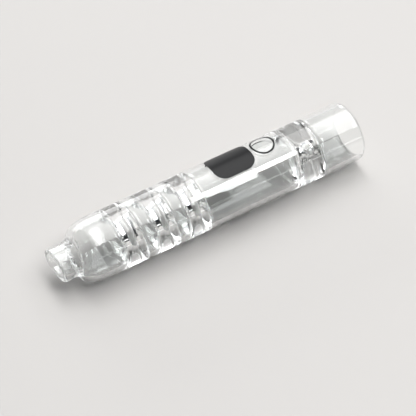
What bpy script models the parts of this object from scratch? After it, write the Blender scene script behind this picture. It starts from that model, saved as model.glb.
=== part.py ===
"""Straight clear glass hand pipe, worked on a glass lathe from stock tubing.

The tube lies along +X with its narrow mouth end at -X and its open bowl at +X.
It rests on the plane z = 0, and the origin is under the middle of its length.
From mouth to bowl it is a row of glass sections that a lathe worker pulls, presses
or seals one after another: a mouth tube, a round shoulder, three chambers that each
end in a pressed restriction ring, a plain barrel, a pierced seal that forms the bottom
of the bowl, and the bowl tube with its fire-polished rim.
A plain enamel mark, a solid patch with a thin ring beside it, is printed on the barrel.
"""

import math

import bmesh
import bpy

# Driving dimensions, in metres. Stations are distances from the mouth rim.
LENGTH = 0.1016
BODY_RADIUS = 0.0095
WALL = 0.0014
MOUTH_RADIUS = 0.0054
MOUTH_BORE = 0.0040
MOUTH_FLARE = 0.0001
MOUTH_WAIST_STATION = 0.0034
SECTION_GAP = 0.0003

WELD_STATION = 0.0052
WELD_LENGTH = 0.0009
WELD_RISE = 0.0006
NECK_DEPTH = 0.0012
SHOULDER_END = 0.0140
SHOULDER_FULLNESS = 2.3
SHOULDER_CROWDING = 1.6
FIRST_RING = 0.0180
RING_PITCH = 0.0107
FUNNEL_LENGTH = 0.0043
RING_HOLE_LENGTH = 0.0005
RING_HOLE_RADIUS = 0.0043
RING_BACK_LENGTH = 0.0031

SEAL_STATION = 0.0775
SEAL_FUNNEL_LENGTH = 0.0066
SEAL_HOLE_LENGTH = 0.0018
SEAL_HOLE_RADIUS = 0.0019
BOWL_STATION = 0.0882

RIM_ROUND = 0.0005
RIM_FLAT = 0.0002

# The printed mark: angles are measured round the tube from +Z towards +Y.
PATCH_START = 0.0530
PATCH_LENGTH = 0.0138
PATCH_WIDTH = 0.0124
PATCH_CORNER = 0.0038
KEYLINE_START = 0.0676
KEYLINE_LENGTH = 0.0076
KEYLINE_WIDTH = 0.0084
KEYLINE_STROKE = 0.0006
MARK_ANGLE = math.radians(14.5)
INK_CLEARANCE = 0.00005
INK_THICKNESS = 0.0001

# How finely each curve is divided.
SPIN_STEPS = 40
RIM_STEPS = 4
SHOULDER_STEPS = 9
FUNNEL_STEPS = 8
RING_BACK_STEPS = 7
SEAL_FUNNEL_STEPS = 10
DISH_STEPS = 7
PATCH_ROWS = 20
KEYLINE_STEPS = 32
SHARP_ANGLE = math.radians(40.0)

# Values worked out from the driving dimensions.
BORE_RADIUS = BODY_RADIUS - WALL
AXIS_HEIGHT = BODY_RADIUS
HALF_GAP = SECTION_GAP / 2
RING_LENGTH = FUNNEL_LENGTH + RING_HOLE_LENGTH + RING_BACK_LENGTH

GLASS_COLOR = (0.93, 0.96, 0.95, 1.0)
INK_COLOR = (0.012, 0.012, 0.013, 1.0)


def clear_scene():
    for scene_object in list(bpy.data.objects):
        bpy.data.objects.remove(scene_object, do_unlink=True)


def glass_material(name):
    """Clear borosilicate tubing."""
    material = bpy.data.materials.new(name)
    material.use_nodes = True
    shader = material.node_tree.nodes["Principled BSDF"]
    shader.inputs["Base Color"].default_value = GLASS_COLOR
    shader.inputs["Roughness"].default_value = 0.03
    shader.inputs["Metallic"].default_value = 0.0
    shader.inputs["IOR"].default_value = 1.473
    shader.inputs["Transmission Weight"].default_value = 1.0
    return material


def ink_material(name):
    """Black glass enamel, fired on."""
    material = bpy.data.materials.new(name)
    material.use_nodes = True
    shader = material.node_tree.nodes["Principled BSDF"]
    shader.inputs["Base Color"].default_value = INK_COLOR
    shader.inputs["Roughness"].default_value = 0.35
    shader.inputs["Metallic"].default_value = 0.0
    return material


def elliptical_arc(center, radii, start_degrees, end_degrees, steps):
    """Points (x, r) along an ellipse, both ends included."""
    points = []
    for step in range(steps + 1):
        angle = math.radians(start_degrees + (end_degrees - start_degrees) * step / steps)
        points.append((center[0] + radii[0] * math.cos(angle), center[1] + radii[1] * math.sin(angle)))
    return points


def funnel_curve(start_x, end_x, start_r, end_r, steps):
    """A wall between two diameters: it leaves one and reaches the other tangentially."""
    points = []
    for step in range(steps + 1):
        part = step / steps
        ease = (1 - math.cos(math.pi * part)) / 2
        points.append((start_x + (end_x - start_x) * part, start_r + (end_r - start_r) * ease))
    return points


def shoulder_curve(start_x, end_x, base_r, top_r, steps):
    """A full, round shoulder, as a quarter of a slightly squared ellipse.

    The points crowd towards the weld, where the curve is tightest.
    """
    half_width = SHOULDER_END - start_x
    points = []
    for step in range(steps + 1):
        along = (step / steps) ** SHOULDER_CROWDING
        x = start_x + (end_x - start_x) * along
        offset = (SHOULDER_END - x) / half_width
        lift = (1 - offset ** SHOULDER_FULLNESS) ** (1 / SHOULDER_FULLNESS)
        points.append((x, base_r + (top_r - base_r) * lift))
    return points


def rim_outline(x, side, outer_r, inner_r):
    """Fire-polished end from the outer wall to the bore; side is -1 at the mouth, +1 at the bowl."""
    middle = (outer_r + inner_r) / 2
    outer_round = (RIM_ROUND, outer_r - middle - RIM_FLAT)
    inner_round = (RIM_ROUND, middle - RIM_FLAT - inner_r)
    center_x = x - side * RIM_ROUND
    toward_rim = 0 if side > 0 else 180
    toward_bore = -90 if side > 0 else 270
    outer = elliptical_arc((center_x, middle + RIM_FLAT), outer_round, 90, toward_rim, RIM_STEPS)
    inner = elliptical_arc((center_x, middle - RIM_FLAT), inner_round, toward_rim, toward_bore, RIM_STEPS)
    return outer + inner


def spun_section(name, outline):
    """Turn a closed (x, r) outline about the tube's axis into one glass section."""
    mesh = bpy.data.meshes.new(name)
    section = bmesh.new()
    corners = []
    for x, r in outline:
        corners.append(section.verts.new((x - LENGTH / 2, 0.0, r)))
    edges = []
    for index, corner in enumerate(corners):
        edges.append(section.edges.new((corners[index - 1], corner)))
    bmesh.ops.spin(
        section,
        geom=corners + edges,
        cent=(0, 0, 0),
        axis=(1, 0, 0),
        angle=math.tau,
        steps=SPIN_STEPS,
        use_merge=True,
    )
    bmesh.ops.recalc_face_normals(section, faces=section.faces)
    section.to_mesh(mesh)
    section.free()
    mesh.shade_smooth()
    mesh.set_sharp_from_angle(angle=SHARP_ANGLE)
    glass = bpy.data.objects.new(name, mesh)
    glass.location = (0, 0, AXIS_HEIGHT)
    bpy.context.collection.objects.link(glass)
    mesh.materials.append(glass_material(name + "_glass"))
    return glass


def plain_outline(start_x, end_x):
    """A straight length of body tubing between two joints."""
    left = start_x + HALF_GAP
    right = end_x - HALF_GAP
    return [(left, BODY_RADIUS), (right, BODY_RADIUS), (right, BORE_RADIUS), (left, BORE_RADIUS)]


def make_mouth_tube():
    """Narrow tube that the lips meet, flared a little at its fire-polished rim."""
    end = WELD_STATION - HALF_GAP
    rim_r = MOUTH_RADIUS + MOUTH_FLARE
    rim = rim_outline(0, -1, rim_r, MOUTH_BORE)
    waist = (MOUTH_WAIST_STATION, MOUTH_RADIUS - MOUTH_FLARE / 2)
    outline = [waist, (end, MOUTH_RADIUS + MOUTH_FLARE), (end, MOUTH_BORE)]
    return spun_section("mouth_tube", outline + rim[::-1])


def make_shoulder():
    """Round end of the body tube, with the mouth tube welded into it."""
    start = WELD_STATION + HALF_GAP
    end = SHOULDER_END - HALF_GAP
    weld_r = MOUTH_RADIUS + 2 * MOUTH_FLARE
    outer = [(start, weld_r), (start + WELD_LENGTH / 2, weld_r + WELD_RISE / 2)]
    outer += shoulder_curve(start + WELD_LENGTH, end, weld_r + WELD_RISE, BODY_RADIUS, SHOULDER_STEPS)
    inner = [(start, MOUTH_BORE)]
    inner_start = start + WELD_LENGTH + NECK_DEPTH
    inner += shoulder_curve(inner_start, end, MOUTH_BORE, BORE_RADIUS, SHOULDER_STEPS - 1)
    return spun_section("shoulder", outer + inner[::-1])


def make_ring(name, station):
    """Pressed restriction: a long funnel on the mouth side, a shorter one towards the bowl."""
    start = station + HALF_GAP
    end = station + RING_LENGTH - HALF_GAP
    hole_start = station + FUNNEL_LENGTH
    hole_end = hole_start + RING_HOLE_LENGTH
    inner = funnel_curve(start, hole_start, BORE_RADIUS, RING_HOLE_RADIUS, FUNNEL_STEPS)
    inner += funnel_curve(hole_end, end, RING_HOLE_RADIUS, BORE_RADIUS, RING_BACK_STEPS)
    return spun_section(name, [(start, BODY_RADIUS), (end, BODY_RADIUS)] + inner[::-1])


def make_bowl_seal():
    """Thick pierced wall between barrel and bowl: it holds the fill and lets the draw through."""
    start = SEAL_STATION + HALF_GAP
    end = BOWL_STATION - HALF_GAP
    hole_start = SEAL_STATION + SEAL_FUNNEL_LENGTH
    hole_end = hole_start + SEAL_HOLE_LENGTH
    inner = funnel_curve(start, hole_start, BORE_RADIUS, SEAL_HOLE_RADIUS, SEAL_FUNNEL_STEPS)
    dish_r = BORE_RADIUS - SEAL_HOLE_RADIUS
    inner += elliptical_arc((end, SEAL_HOLE_RADIUS), (end - hole_end, dish_r), 180, 90, DISH_STEPS)
    return spun_section("bowl_seal", [(start, BODY_RADIUS), (end, BODY_RADIUS)] + inner[::-1])


def make_bowl_tube():
    """Open end of the body tube, with a fire-polished rim."""
    start = BOWL_STATION + HALF_GAP
    rim = rim_outline(LENGTH, 1, BODY_RADIUS, BORE_RADIUS)
    return spun_section("bowl_tube", [(start, BODY_RADIUS)] + rim + [(start, BORE_RADIUS)])


def wrapped_ink(name, pairs, closed):
    """A thin enamel plate round the barrel, from pairs of (x, s) points; s runs round the tube."""
    mesh = bpy.data.meshes.new(name)
    plate = bmesh.new()
    inner_radius = BODY_RADIUS + INK_CLEARANCE
    rails = []
    for pair in pairs:
        posts = []
        for x, s in pair:
            angle = MARK_ANGLE + s / BODY_RADIUS
            direction = (math.sin(angle), math.cos(angle))
            for radius in (inner_radius, inner_radius + INK_THICKNESS):
                place = (x - LENGTH / 2, radius * direction[0], radius * direction[1])
                posts.append(plate.verts.new(place))
        rails.append(posts)
    spans = list(zip(rails, rails[1:]))
    if closed:
        spans.append((rails[-1], rails[0]))
    for first, second in spans:
        for low, high in ((0, 1), (1, 3), (3, 2), (2, 0)):
            plate.faces.new((first[low], first[high], second[high], second[low]))
    if not closed:
        for posts in (rails[0], rails[-1]):
            plate.faces.new((posts[0], posts[1], posts[3], posts[2]))
    bmesh.ops.recalc_face_normals(plate, faces=plate.faces)
    plate.to_mesh(mesh)
    plate.free()
    mesh.shade_smooth()
    mesh.set_sharp_from_angle(angle=SHARP_ANGLE)
    ink = bpy.data.objects.new(name, mesh)
    ink.location = (0, 0, AXIS_HEIGHT)
    bpy.context.collection.objects.link(ink)
    mesh.materials.append(ink_material(name + "_enamel"))
    return ink


def make_mark_patch():
    """Solid patch with round corners, long across the tube's top."""
    center_x = PATCH_START + PATCH_LENGTH / 2
    pairs = []
    for row in range(PATCH_ROWS + 1):
        s = -PATCH_WIDTH / 2 * math.cos(math.pi * row / PATCH_ROWS)
        into_corner = max(0.0, abs(s) - (PATCH_WIDTH / 2 - PATCH_CORNER))
        reach = math.sqrt(max(0.0, PATCH_CORNER ** 2 - into_corner ** 2))
        half_length = PATCH_LENGTH / 2 - PATCH_CORNER + reach
        pairs.append(((center_x - half_length, s), (center_x + half_length, s)))
    return wrapped_ink("mark_patch", pairs, closed=False)


def make_mark_keyline():
    """Thin oval ring beside the patch."""
    center_x = KEYLINE_START + KEYLINE_LENGTH / 2
    pairs = []
    for step in range(KEYLINE_STEPS):
        angle = math.tau * step / KEYLINE_STEPS
        ring = []
        for inset in (0.0, KEYLINE_STROKE):
            x = center_x + (KEYLINE_LENGTH / 2 - inset) * math.cos(angle)
            s = (KEYLINE_WIDTH / 2 - inset) * math.sin(angle)
            ring.append((x, s))
        pairs.append(tuple(ring))
    return wrapped_ink("mark_keyline", pairs, closed=True)


def make_chambers_and_rings():
    """Short plain chambers, each closed by a ring; the rings stand at one pitch."""
    chamber_start = SHOULDER_END
    for index, place in enumerate(("front", "middle", "rear")):
        ring_start = FIRST_RING + index * RING_PITCH
        spun_section(place + "_chamber", plain_outline(chamber_start, ring_start))
        make_ring(place + "_ring", ring_start)
        chamber_start = ring_start + RING_LENGTH
    return chamber_start


clear_scene()
make_mouth_tube()
make_shoulder()
barrel_start = make_chambers_and_rings()
spun_section("barrel_tube", plain_outline(barrel_start, SEAL_STATION))
make_bowl_seal()
make_bowl_tube()
make_mark_patch()
make_mark_keyline()
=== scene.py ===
import math

import bmesh
import bpy
from mathutils import Matrix, Vector, geometry, noise


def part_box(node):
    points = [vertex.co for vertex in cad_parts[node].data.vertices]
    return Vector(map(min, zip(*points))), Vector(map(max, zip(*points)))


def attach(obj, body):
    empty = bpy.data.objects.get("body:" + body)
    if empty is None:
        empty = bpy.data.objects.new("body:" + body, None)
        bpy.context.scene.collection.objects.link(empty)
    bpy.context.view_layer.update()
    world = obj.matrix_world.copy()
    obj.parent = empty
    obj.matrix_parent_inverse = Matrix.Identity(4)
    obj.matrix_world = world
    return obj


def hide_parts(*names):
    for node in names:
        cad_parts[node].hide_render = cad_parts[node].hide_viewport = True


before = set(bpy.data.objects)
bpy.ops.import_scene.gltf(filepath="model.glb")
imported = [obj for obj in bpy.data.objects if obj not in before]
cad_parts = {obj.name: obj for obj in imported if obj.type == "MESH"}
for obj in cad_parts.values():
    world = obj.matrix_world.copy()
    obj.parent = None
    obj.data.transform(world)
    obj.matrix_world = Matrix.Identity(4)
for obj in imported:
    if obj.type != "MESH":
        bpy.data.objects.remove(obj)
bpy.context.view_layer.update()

MM = 0.001


# ---- Glass body -------------------------------------------------------------------------
# The pipe is borosilicate tubing worked on a glass lathe: every section is melted into the
# next, so the finished wall is one piece of clear glass from the mouth rim to the bowl rim.
# It is turned here the same way, as one outline spun round the tube's axis.
MOUTH_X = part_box("mouth_tube")[0].x
WELD_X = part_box("mouth_tube")[1].x
BOWL_END_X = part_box("bowl_tube")[1].x
BARREL_LOW, BARREL_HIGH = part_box("barrel_tube")
AXIS_Z = (BARREL_LOW.z + BARREL_HIGH.z) / 2
BODY_R = (BARREL_HIGH.z - BARREL_LOW.z) / 2
WALL = 1.4 * MM
BORE_R = BODY_R - WALL
MOUTH_BORE_R = 4.0 * MM
GLASS_SIDES = 176
RIM_STEPS = 10


def curve(start, leave, arrive, end, steps):
    """Points after start along one cubic curve; leave and arrive are its handles, all as (x, r)."""
    knots = [Vector((x, 0.0, r)) for x, r in (start, leave, arrive, end)]
    points = geometry.interpolate_bezier(*knots, steps + 1)
    return [(point.x, point.z) for point in points[1:]]


def straight(start, end, step=0.8 * MM):
    """Points after start along a straight run, close enough together to be nudged later."""
    count = max(1, round(abs(end[0] - start[0]) / step))
    parts = [index / count for index in range(1, count + 1)]
    return [(start[0] + (end[0] - start[0]) * part, start[1] + (end[1] - start[1]) * part) for part in parts]


def rim(outer_r, inner_r, x, side, outside, inside):
    """Fire-polished end, outer wall to bore; outside is (length, drop), inside a length."""
    tip_r = outer_r - outside[1]
    bore_drop = tip_r - inner_r
    points = []
    for step in range(RIM_STEPS + 1):
        turn = math.pi / 2 * step / RIM_STEPS
        points.append((x - side * outside[0] * (1 - math.sin(turn)), tip_r + outside[1] * math.cos(turn)))
    for step in range(1, RIM_STEPS + 1):
        turn = math.pi / 2 * step / RIM_STEPS
        points.append((x - side * inside * (1 - math.cos(turn)), tip_r - bore_drop * math.sin(turn)))
    return points


# Mouth tube: narrow tubing with a flared rim and a slight waist, welded into the shoulder.
MOUTH_R = 5.5 * MM
WAIST_R = 5.4 * MM
WELD_R = 5.6 * MM
FLARE_R = (MOUTH_R + WAIST_R) / 2
mouth_rim = rim(MOUTH_R, MOUTH_BORE_R, MOUTH_X, -1, (0.7 * MM, 0.75 * MM), 0.6 * MM)
waist = (MOUTH_X + 3.4 * MM, WAIST_R)
weld = (WELD_X + 0.15 * MM, WELD_R)
mouth_outer = curve(mouth_rim[0], (MOUTH_X + 1.8 * MM, FLARE_R), (waist[0] - 0.8 * MM, WAIST_R), waist, 8)
mouth_outer += curve(waist, (waist[0] + 0.8 * MM, WAIST_R), (weld[0] - 0.5 * MM, FLARE_R), weld, 10)

# Shoulder: the body tube's end is gathered into a full round dome, first outside, then inside.
shoulder_start = (MOUTH_X + 6.4 * MM, 6.3 * MM)
shoulder_end = (MOUTH_X + 14.6 * MM, BODY_R)
shoulder_outer = curve(
    weld, (weld[0] + 0.45 * MM, 5.7 * MM), (shoulder_start[0] - 0.12 * MM, 5.9 * MM), shoulder_start, 8
)
shoulder_outer += curve(
    shoulder_start, (MOUTH_X + 6.9 * MM, 8.75 * MM), (MOUTH_X + 9.4 * MM, BODY_R - 0.12 * MM),
    shoulder_end, 26
)
inner_neck = (MOUTH_X + 6.6 * MM, MOUTH_BORE_R)
inner_lip = (MOUTH_X + 7.75 * MM, 5.3 * MM)
inner_shoulder_end = (MOUTH_X + 14.0 * MM, BORE_R)
shoulder_inner = curve(
    inner_neck, (MOUTH_X + 7.9 * MM, MOUTH_BORE_R), (MOUTH_X + 7.5 * MM, 4.6 * MM), inner_lip, 10
)
shoulder_inner += curve(
    inner_lip, (MOUTH_X + 8.25 * MM, 7.0 * MM), (MOUTH_X + 9.9 * MM, BORE_R - 0.08 * MM),
    inner_shoulder_end, 20
)


# Restriction rings: the hot tube is pressed in from outside and gathered until its outside
# is flush again, which leaves a long funnel on the mouth side and a shorter one behind it.
RING_HOLE_R = 4.3 * MM
RING_FUNNEL = 4.3 * MM
RING_THROAT = 0.5 * MM
RING_BACK = 3.1 * MM


def ring_inner(node):
    """Inner wall through one ring, from its mouth side to its bowl side."""
    start = (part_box(node)[0].x, BORE_R)
    throat = (start[0] + RING_FUNNEL, RING_HOLE_R)
    throat_end = (throat[0] + RING_THROAT, RING_HOLE_R)
    end = (throat_end[0] + RING_BACK, BORE_R)
    points = [start]
    points += curve(start, (start[0] + 1.9 * MM, BORE_R), (throat[0] - 2.0 * MM, RING_HOLE_R), throat, 24)
    points += straight(throat, throat_end)
    points += curve(throat_end, (throat_end[0] + 1.6 * MM, RING_HOLE_R), (end[0] - 1.1 * MM, BORE_R), end, 22)
    return points


ring_walls = [ring_inner(node) for node in ("front_ring", "middle_ring", "rear_ring")]

# Bowl seal: a thick pierced wall, drawn down like a funnel from the barrel side and dished
# on the bowl side, where it holds the fill.
seal_low, seal_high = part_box("bowl_seal")
SEAL_HOLE_R = 1.9 * MM
SEAL_FUNNEL = 6.45 * MM
SEAL_THROAT = 1.8 * MM
seal_start = (seal_low.x, BORE_R)
seal_throat = (seal_start[0] + SEAL_FUNNEL, SEAL_HOLE_R)
seal_throat_end = (seal_throat[0] + SEAL_THROAT, SEAL_HOLE_R)
dish_lip = (seal_throat_end[0] + 0.35 * MM, SEAL_HOLE_R + 0.5 * MM)
dish_end = (seal_high.x + 0.4 * MM, BORE_R)
seal_inner = [seal_start]
seal_inner += curve(
    seal_start, (seal_start[0] + 2.9 * MM, BORE_R), (seal_throat[0] - 2.5 * MM, SEAL_HOLE_R),
    seal_throat, 34
)
seal_inner += straight(seal_throat, seal_throat_end)
seal_inner += curve(
    seal_throat_end, (seal_throat_end[0] + 0.25 * MM, SEAL_HOLE_R), (dish_lip[0], dish_lip[1] - 0.25 * MM),
    dish_lip, 6
)
seal_inner += curve(
    dish_lip, (dish_lip[0] + 0.15 * MM, 5.4 * MM), (dish_end[0] - 1.7 * MM, BORE_R), dish_end, 30
)

# Bowl tube: the open end of the body tube, with a fire-polished rim.
bowl_rim = rim(BODY_R, BORE_R, BOWL_END_X, 1, (1.7 * MM, 0.85 * MM), 0.7 * MM)

# The whole wall: outside from mouth to bowl, round the rim, and back along the inside.
outline = mouth_outer + shoulder_outer
outline += straight(shoulder_end, bowl_rim[0])
outline += bowl_rim[1:]
inside = straight(mouth_rim[-1], inner_neck)
inside += shoulder_inner
for wall in ring_walls + [seal_inner]:
    inside += straight(inside[-1], wall[0])
    inside += wall[1:]
inside += straight(inside[-1], bowl_rim[-1])[:-1]
outline += inside[::-1]
outline += mouth_rim[::-1]

glass = bmesh.new()
corners = [glass.verts.new((x, 0.0, r)) for x, r in outline]
edges = [glass.edges.new((corners[index - 1], corner)) for index, corner in enumerate(corners)]
bmesh.ops.spin(
    glass, geom=corners + edges, cent=(0, 0, 0), axis=(1, 0, 0), angle=math.tau, steps=GLASS_SIDES,
    use_merge=True,
)
bmesh.ops.remove_doubles(glass, verts=glass.verts, dist=0.002 * MM)
bmesh.ops.recalc_face_normals(glass, faces=glass.faces)


def bump_window(x, center, half_width):
    """1 at center, easing to 0 at half_width to either side."""
    away = min(1.0, abs(x - center) / half_width)
    return (1 + math.cos(math.pi * away)) / 2


# Handwork: the weld is lumpy, the rings and the seal aren't perfectly even round the axis, the
# mouth is cut a little askew, the rings lean the same way, and the shoulder leans the other way.
# A lean is a section's slope against the axis, and the weld's lumps stay in the wall's outer part.
WELD_LUMP = 0.30 * MM
WELD_MIDDLE = MOUTH_X + 5.8 * MM
WELD_REACH = 1.7 * MM
WELD_SKIN_R = 4.7 * MM
COARSE_LUMP = 1.1 * MM
FINE_LUMP = 0.5 * MM
FINE_SHARE = 0.6

RING_UNEVEN = 0.08 * MM
UNEVEN_SPACING = 4.0 * MM
FULL_DEPTH = 2.0 * MM
RINGS_START_X = MOUTH_X + 16 * MM
OUTER_SKIN = 0.5 * MM

LEAN_SIDE = Vector((0.0, 0.82, 0.57))
MOUTH_LEAN = 0.15
MOUTH_LEAN_FADE = 2.5 * MM
SHOULDER_LEAN = -0.09
SHOULDER_MIDDLE = MOUTH_X + 8.5 * MM
SHOULDER_REACH = 6.5 * MM
RING_LEAN = 0.07
RINGS_MIDDLE = MOUTH_X + 30 * MM
RINGS_REACH = 34 * MM

for vert in glass.verts:
    x, r = vert.co.x, math.hypot(vert.co.y, vert.co.z)
    outward = Vector((0.0, vert.co.y / r, vert.co.z / r))
    weld_share = bump_window(x, WELD_MIDDLE, WELD_REACH)
    depth_share = min(1.0, max(0.0, (BORE_R - r) / FULL_DEPTH))
    in_rings = x > RINGS_START_X and r < BODY_R - OUTER_SKIN
    lean = MOUTH_LEAN * math.exp(-(x - MOUTH_X) / MOUTH_LEAN_FADE)
    lean += SHOULDER_LEAN * bump_window(x, SHOULDER_MIDDLE, SHOULDER_REACH)
    if in_rings:
        vert.co += outward * RING_UNEVEN * depth_share * noise.noise(vert.co / UNEVEN_SPACING)
        lean = RING_LEAN * bump_window(x, RINGS_MIDDLE, RINGS_REACH)
    elif weld_share > 0 and r > WELD_SKIN_R:
        lumps = noise.noise(vert.co / COARSE_LUMP) + FINE_SHARE * noise.noise(vert.co / FINE_LUMP)
        vert.co += outward * WELD_LUMP * weld_share * lumps
    vert.co.x -= lean * outward.dot(LEAN_SIDE) * r

bmesh.ops.translate(glass, verts=glass.verts, vec=(0, 0, AXIS_Z))
glass_mesh = bpy.data.meshes.new("glass_body")
glass.to_mesh(glass_mesh)
glass.free()
glass_mesh.shade_smooth()
glass_body = bpy.data.objects.new("glass_body", glass_mesh)
bpy.context.collection.objects.link(glass_body)


def linear(hex_color):
    """An sRGB hex colour as linear RGBA."""
    channels = []
    for index in (0, 2, 4):
        value = int(hex_color[index:index + 2], 16) / 255
        channels.append(value / 12.92 if value <= 0.04045 else ((value + 0.055) / 1.055) ** 2.4)
    return (*channels, 1.0)


def add_node(tree, kind, links=None, **settings):
    """Add a node: settings set its properties or, by input name, its sockets; links are input: socket."""
    node = tree.nodes.new(kind)
    for name, value in settings.items():
        if hasattr(node, name):
            setattr(node, name, value)
        else:
            node.inputs[name.replace("_", " ")].default_value = value
    for name, source in (links or {}).items():
        tree.links.new(source, node.inputs[name])
    return node


# Borosilicate glass, drawn and fire-polished: water clear, with faint lengthwise draw lines
# that bend a highlight slightly, and a trace of cool tint that varies over a centimetre or two.
def borosilicate_glass():
    material = bpy.data.materials.new("borosilicate_glass")
    material.use_nodes = True
    tree = material.node_tree
    shader = tree.nodes["Principled BSDF"]
    place = add_node(tree, "ShaderNodeTexCoord")
    centred = add_node(
        tree, "ShaderNodeMapping", {"Vector": place.outputs["Object"]},
        Location=(0.0, 0.0, -AXIS_Z), Scale=(25.0, 900.0, 900.0),
    )
    draw_lines = add_node(
        tree, "ShaderNodeTexNoise", {"Vector": centred.outputs["Vector"]}, Scale=1.0, Detail=2.0
    )
    ripple = add_node(
        tree, "ShaderNodeBump", {"Height": draw_lines.outputs["Fac"]}, Strength=0.35, Distance=0.004 * MM
    )
    cloud = add_node(tree, "ShaderNodeTexNoise", {"Vector": place.outputs["Object"]}, Scale=60.0, Detail=1.0)
    tint = add_node(tree, "ShaderNodeMix", {"Factor": cloud.outputs["Fac"]}, data_type="RGBA")
    tint.inputs["A"].default_value = linear("FBFEFD")
    tint.inputs["B"].default_value = linear("FFFFFF")
    tree.links.new(tint.outputs["Result"], shader.inputs["Base Color"])
    tree.links.new(ripple.outputs["Normal"], shader.inputs["Normal"])
    shader.inputs["Roughness"].default_value = 0.0
    shader.inputs["IOR"].default_value = 1.473
    shader.inputs["Transmission Weight"].default_value = 1.0
    return material


glass_mesh.materials.append(borosilicate_glass())
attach(glass_body, "root")
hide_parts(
    "mouth_tube", "shoulder", "front_chamber", "front_ring", "middle_chamber",
    "middle_ring", "rear_chamber", "rear_ring", "barrel_tube", "bowl_seal", "bowl_tube",
)


# ---- Printed mark -----------------------------------------------------------------------
# Black enamel, screen printed on the barrel and fired until it bites into the glass.
# It is a plain patch with round corners and a thin oval ring beside it.
MARK_ANGLE = math.radians(14.5)
INK_BITE = 0.03 * MM
INK_HEIGHT = 0.03 * MM
WRAP_STRIPS = 40
WRAP_SPAN = 16 * MM
CUT_TOLERANCE = 0.0001 * MM
SHARP_ANGLE = math.radians(40)


def lay_on_barrel(name, flat, node):
    """Thicken a flat (x, s) shape, wrap it round the barrel and make it a piece in node's place."""
    for index in range(1, WRAP_STRIPS):
        s = (index / WRAP_STRIPS - 0.5) * WRAP_SPAN
        everything = flat.verts[:] + flat.edges[:] + flat.faces[:]
        bmesh.ops.bisect_plane(
            flat, geom=everything, dist=CUT_TOLERANCE, plane_co=(0, s, 0), plane_no=(0, 1, 0)
        )
    raised = bmesh.ops.extrude_face_region(flat, geom=flat.faces[:])
    tops = [item for item in raised["geom"] if isinstance(item, bmesh.types.BMVert)]
    bmesh.ops.translate(flat, verts=tops, vec=(0, 0, INK_BITE + INK_HEIGHT))
    for vert in flat.verts:
        angle = MARK_ANGLE + vert.co.y / BODY_R
        radius = BODY_R - INK_BITE + vert.co.z
        vert.co = (vert.co.x, radius * math.sin(angle), AXIS_Z + radius * math.cos(angle))
    bmesh.ops.recalc_face_normals(flat, faces=flat.faces)
    mesh = bpy.data.meshes.new(name)
    flat.to_mesh(mesh)
    flat.free()
    mesh.shade_smooth()
    mesh.set_sharp_from_angle(angle=SHARP_ANGLE)
    ink = bpy.data.objects.new(name, mesh)
    bpy.context.collection.objects.link(ink)
    mesh.materials.append(fired_enamel)
    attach(ink, "root")
    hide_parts(node)


# Fired enamel: a dense satin black, with a fine grain of about 0.2 mm left by printing and firing.
def black_enamel():
    material = bpy.data.materials.new("fired_black_enamel")
    material.use_nodes = True
    tree = material.node_tree
    shader = tree.nodes["Principled BSDF"]
    place = add_node(tree, "ShaderNodeTexCoord")
    grain = add_node(
        tree, "ShaderNodeTexNoise", {"Vector": place.outputs["Object"]}, Scale=5000.0, Detail=2.0
    )
    relief = add_node(
        tree, "ShaderNodeBump", {"Height": grain.outputs["Fac"]}, Strength=0.4, Distance=0.01 * MM
    )
    shade = add_node(tree, "ShaderNodeMix", {"Factor": grain.outputs["Fac"]}, data_type="RGBA")
    shade.inputs["A"].default_value = linear("0A0A0B")
    shade.inputs["B"].default_value = linear("121213")
    tree.links.new(shade.outputs["Result"], shader.inputs["Base Color"])
    tree.links.new(relief.outputs["Normal"], shader.inputs["Normal"])
    shader.inputs["Roughness"].default_value = 0.30
    shader.inputs["IOR"].default_value = 1.52
    shader.inputs["Specular IOR Level"].default_value = 0.16
    return material


fired_enamel = black_enamel()

patch_low, patch_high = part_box("mark_patch")
PATCH_WIDTH = 12.4 * MM
PATCH_CORNER = 3.8 * MM
patch = bmesh.new()
bmesh.ops.create_grid(patch, x_segments=1, y_segments=1, size=0.5)
bmesh.ops.scale(patch, verts=patch.verts, vec=(patch_high.x - patch_low.x, PATCH_WIDTH, 1))
bmesh.ops.bevel(
    patch, geom=patch.verts[:], offset=PATCH_CORNER, offset_type="OFFSET", affect="VERTICES",
    segments=12, profile=0.5, material=-1,
)
bmesh.ops.translate(patch, verts=patch.verts, vec=((patch_low.x + patch_high.x) / 2, 0, 0))
lay_on_barrel("mark_patch_print", patch, "mark_patch")

keyline_low, keyline_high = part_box("mark_keyline")
KEYLINE_WIDTH = 8.4 * MM
KEYLINE_STROKE = 0.6 * MM
keyline = bmesh.new()
bmesh.ops.create_circle(keyline, cap_ends=True, segments=96, radius=0.5)
KEYLINE_LENGTH = keyline_high.x - keyline_low.x
bmesh.ops.scale(keyline, verts=keyline.verts, vec=(KEYLINE_LENGTH, KEYLINE_WIDTH, 1))
keyline_disc = keyline.faces[:]
bmesh.ops.inset_region(
    keyline, faces=keyline_disc, thickness=KEYLINE_STROKE, use_boundary=True, use_even_offset=True
)
bmesh.ops.delete(keyline, geom=keyline_disc, context="FACES_ONLY")
bmesh.ops.translate(keyline, verts=keyline.verts, vec=((keyline_low.x + keyline_high.x) / 2, 0, 0))
lay_on_barrel("mark_keyline_print", keyline, "mark_keyline")


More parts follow.
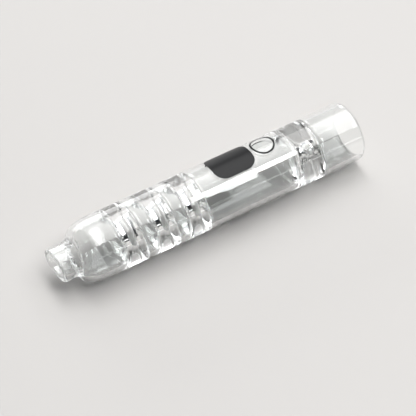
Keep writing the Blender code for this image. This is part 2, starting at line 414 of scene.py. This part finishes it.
# ---- Stage ------------------------------------------------------------------------------
# A pale matt table in a product light tent: a wide diffuser overhead with a hot patch, a key
# light, two low strips, and a surround that is bright behind the pipe and dark in front of it.
FLOOR_REACH = 1.5
floor_mesh = bpy.data.meshes.new("table_top")
floor_shape = bmesh.new()
bmesh.ops.create_grid(floor_shape, x_segments=1, y_segments=1, size=FLOOR_REACH)
floor_shape.to_mesh(floor_mesh)
floor_shape.free()
floor = bpy.data.objects.new("table_top", floor_mesh)
bpy.context.collection.objects.link(floor)
table_paint = bpy.data.materials.new("pale_table_paint")
table_paint.use_nodes = True
table_shader = table_paint.node_tree.nodes["Principled BSDF"]
table_shader.inputs["Base Color"].default_value = linear("9A9896")
table_shader.inputs["Roughness"].default_value = 0.7
floor_mesh.materials.append(table_paint)


def soft_box(name, center, size, brightness, outward=None):
    """A soft light panel, size along x first; it shines against outward, or else at the pipe."""
    light = bpy.data.lights.new(name, "AREA")
    light.shape = "RECTANGLE"
    light.size, light.size_y = size
    light.energy = brightness * math.pi * size[0] * size[1]
    lamp = bpy.data.objects.new(name, light)
    direction = Vector(outward or center).normalized()
    across = (Vector((1, 0, 0)) - direction * direction.x).normalized()
    lamp.location = center
    lamp.rotation_euler = Matrix((across, direction.cross(across), direction)).transposed().to_euler()
    lamp.visible_camera = False
    bpy.context.collection.objects.link(lamp)


# Overhead diffuser, with a hot patch above the pipe's bowl end that falls off in steps along x.
UP = (0, 0, 1)
NEAR_EDGE = -0.55
FAR_EDGE = 1.0
HOT_FAR_EDGE = 0.48
soft_box(
    "overhead_diffuser", (0.32, (NEAR_EDGE + FAR_EDGE) / 2, 0.86), (0.86, FAR_EDGE - NEAR_EDGE), 3.0,
    outward=UP,
)
for width in (0.20, 0.15, 0.10):
    soft_box(
        "hot_middle", (0.07, (NEAR_EDGE + HOT_FAR_EDGE) / 2, 0.85), (width, HOT_FAR_EDGE - NEAR_EDGE), 6.5,
        outward=UP,
    )

# Key light in front, and two low strips that draw the glass's edges.
soft_box("key_light", (0.335, -0.40, 0.79), (0.10, 0.28), 16.0)
soft_box("near_strip", (0.30, -0.95, 0.22), (0.9, 0.05), 5.0)
soft_box("far_strip", (-0.03, 0.88, 0.22), (0.64, 0.40), 4.0)

# Surround: bright behind the pipe, fading out towards the camera and past the mouth end.
world = bpy.data.worlds.new("light_tent")
world.use_nodes = True
bpy.context.scene.world = world
tent = world.node_tree
backdrop = tent.nodes["Background"]
sky = add_node(tent, "ShaderNodeTexCoord")
sides = add_node(tent, "ShaderNodeSeparateXYZ", {"Vector": sky.outputs["Generated"]})
depth = add_node(tent, "ShaderNodeMapRange", {"Value": sides.outputs["Y"]}, From_Min=-0.45, From_Max=0.15)
along = add_node(tent, "ShaderNodeMapRange", {"Value": sides.outputs["X"]}, From_Min=-0.50, From_Max=-0.30)
open_side = add_node(tent, "ShaderNodeMath", operation="MULTIPLY")
tent.links.new(depth.outputs["Result"], open_side.inputs[0])
tent.links.new(along.outputs["Result"], open_side.inputs[1])
fall = add_node(tent, "ShaderNodeValToRGB", {"Fac": open_side.outputs["Value"]})
fall.color_ramp.elements[0].color = linear("2C2D2F")
fall.color_ramp.elements[1].color = linear("D0D1D3")
tent.links.new(fall.outputs["Color"], backdrop.inputs["Color"])
backdrop.inputs["Strength"].default_value = 1.0

# The camera looks down at the tube from the front, nearer to its mouth end.
VIEW_AZIMUTH = math.radians(-30.9)
VIEW_ELEVATION = math.radians(51.0)
VIEW_DISTANCE = 480 * MM
VIEW_WIDTH = 123.7 * MM
ASIDE = (0.45 * MM, -3.51 * MM)
toward_camera = Vector((
    math.sin(VIEW_AZIMUTH) * math.cos(VIEW_ELEVATION),
    -math.cos(VIEW_AZIMUTH) * math.cos(VIEW_ELEVATION),
    math.sin(VIEW_ELEVATION),
))
lens = bpy.data.cameras.new("camera")
lens.sensor_width = 36.0
lens.lens = lens.sensor_width * VIEW_DISTANCE / VIEW_WIDTH
lens.clip_start = 0.01
camera = bpy.data.objects.new("camera", lens)
turn = toward_camera.to_track_quat("Z", "Y")
aim = Vector((0, 0, AXIS_Z)) + turn @ Vector((ASIDE[0], ASIDE[1], 0.0))
camera.location = aim + toward_camera * VIEW_DISTANCE
camera.rotation_euler = turn.to_euler()
bpy.context.collection.objects.link(camera)
bpy.context.scene.camera = camera
bpy.context.scene.view_settings.view_transform = "Standard"

# Light crosses many glass walls before it leaves the tube.
paths = bpy.context.scene.cycles
paths.max_bounces = 28
paths.glossy_bounces = 16
paths.transmission_bounces = 28
